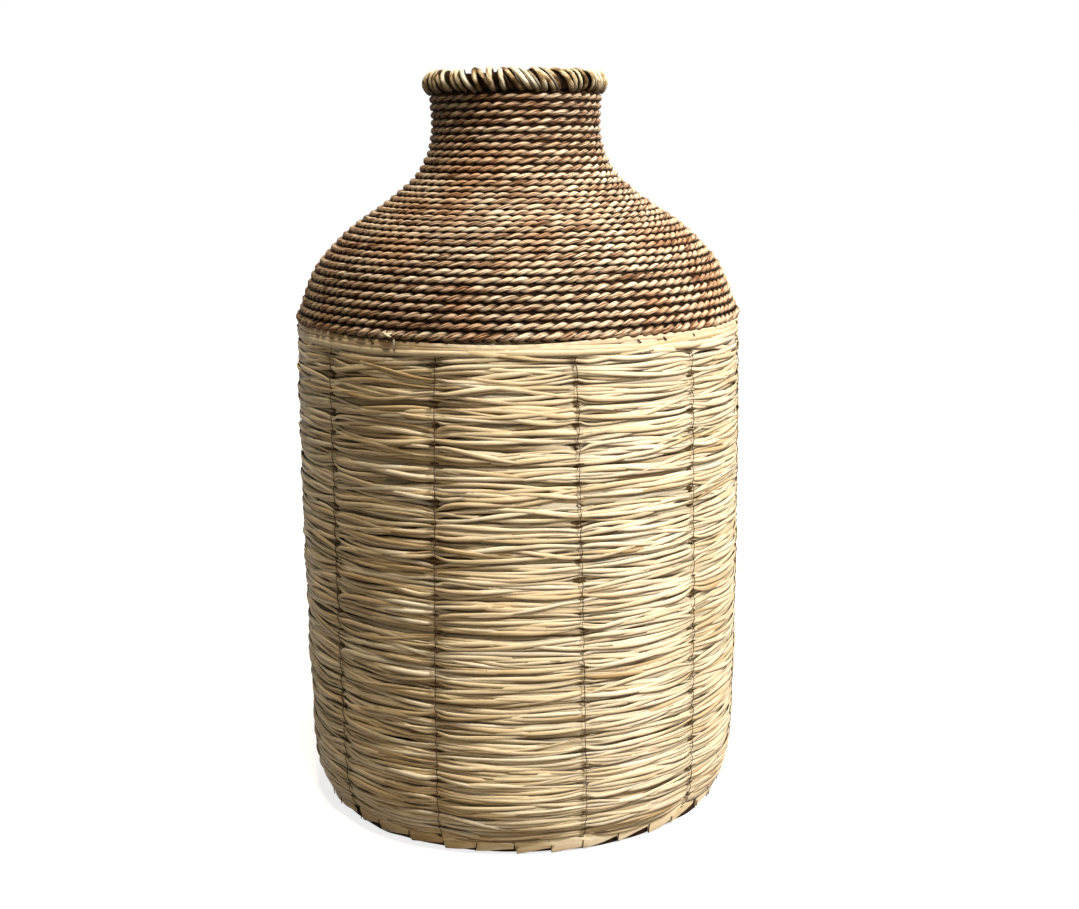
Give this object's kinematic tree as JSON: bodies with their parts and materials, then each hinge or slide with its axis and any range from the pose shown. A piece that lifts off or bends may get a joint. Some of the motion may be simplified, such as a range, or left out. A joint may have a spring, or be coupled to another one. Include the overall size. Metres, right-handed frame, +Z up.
{
  "type": "floor vase",
  "caption": "Bottle-shaped floor vase: a stitched straw body with a rope-wound shoulder and neck and a lashed rim, on a steel wire frame.",
  "frame": {"origin": "middle of the base, on the floor", "axes": "+Z up through the mouth, -Y the side that the picture shows, +X to its right"},
  "size_m": [0.3651, 0.3654, 0.5922],
  "materials": {
    "pale_straw": "dry pale straw, satin on its flat faces",
    "twisted_rope": "twisted seagrass fibre, tan to reddish brown",
    "rim_lashing_cord": "mixed pale and dark fibre strands",
    "dark_thread": "thin dark brown waxed thread",
    "fibre_core": "plain coiled fibre",
    "black_steel": "black coated wire"
  },
  "bodies": {
    "root": {"base_bar_back": "black_steel", "base_bar_front": "black_steel", "base_bar_whole": "black_steel", "base_floor": "fibre_core", "base_hoop": "black_steel", "belt_hoop": "black_steel", "belt_rope": "twisted_rope", "binding_cord_01": "dark_thread", "binding_cord_02": "dark_thread", "binding_cord_03": "dark_thread", "binding_cord_04": "dark_thread", "binding_cord_05": "dark_thread", "binding_cord_06": "dark_thread", "binding_cord_07": "dark_thread", "binding_cord_08": "dark_thread", "binding_cord_09": "dark_thread", "binding_cord_10": "dark_thread", "binding_cord_11": "dark_thread", "frame_rib_01": "black_steel", "frame_rib_02": "black_steel", "frame_rib_03": "black_steel", "frame_rib_04": "black_steel", "frame_rib_05": "black_steel", "frame_rib_06": "black_steel", "frame_rib_07": "black_steel", "frame_rib_08": "black_steel", "frame_rib_09": "black_steel", "frame_rib_10": "black_steel", "frame_rib_11": "black_steel", "mid_hoop": "black_steel", "neck_hoop": "black_steel", "neck_rope": "twisted_rope", "rim_core": "fibre_core", "rim_hoop": "black_steel", "rim_lashing": "rim_lashing_cord", "shoulder_rope": "twisted_rope", "straw_hem": "pale_straw", "straw_wall": "pale_straw"}
  },
  "joints": []
}
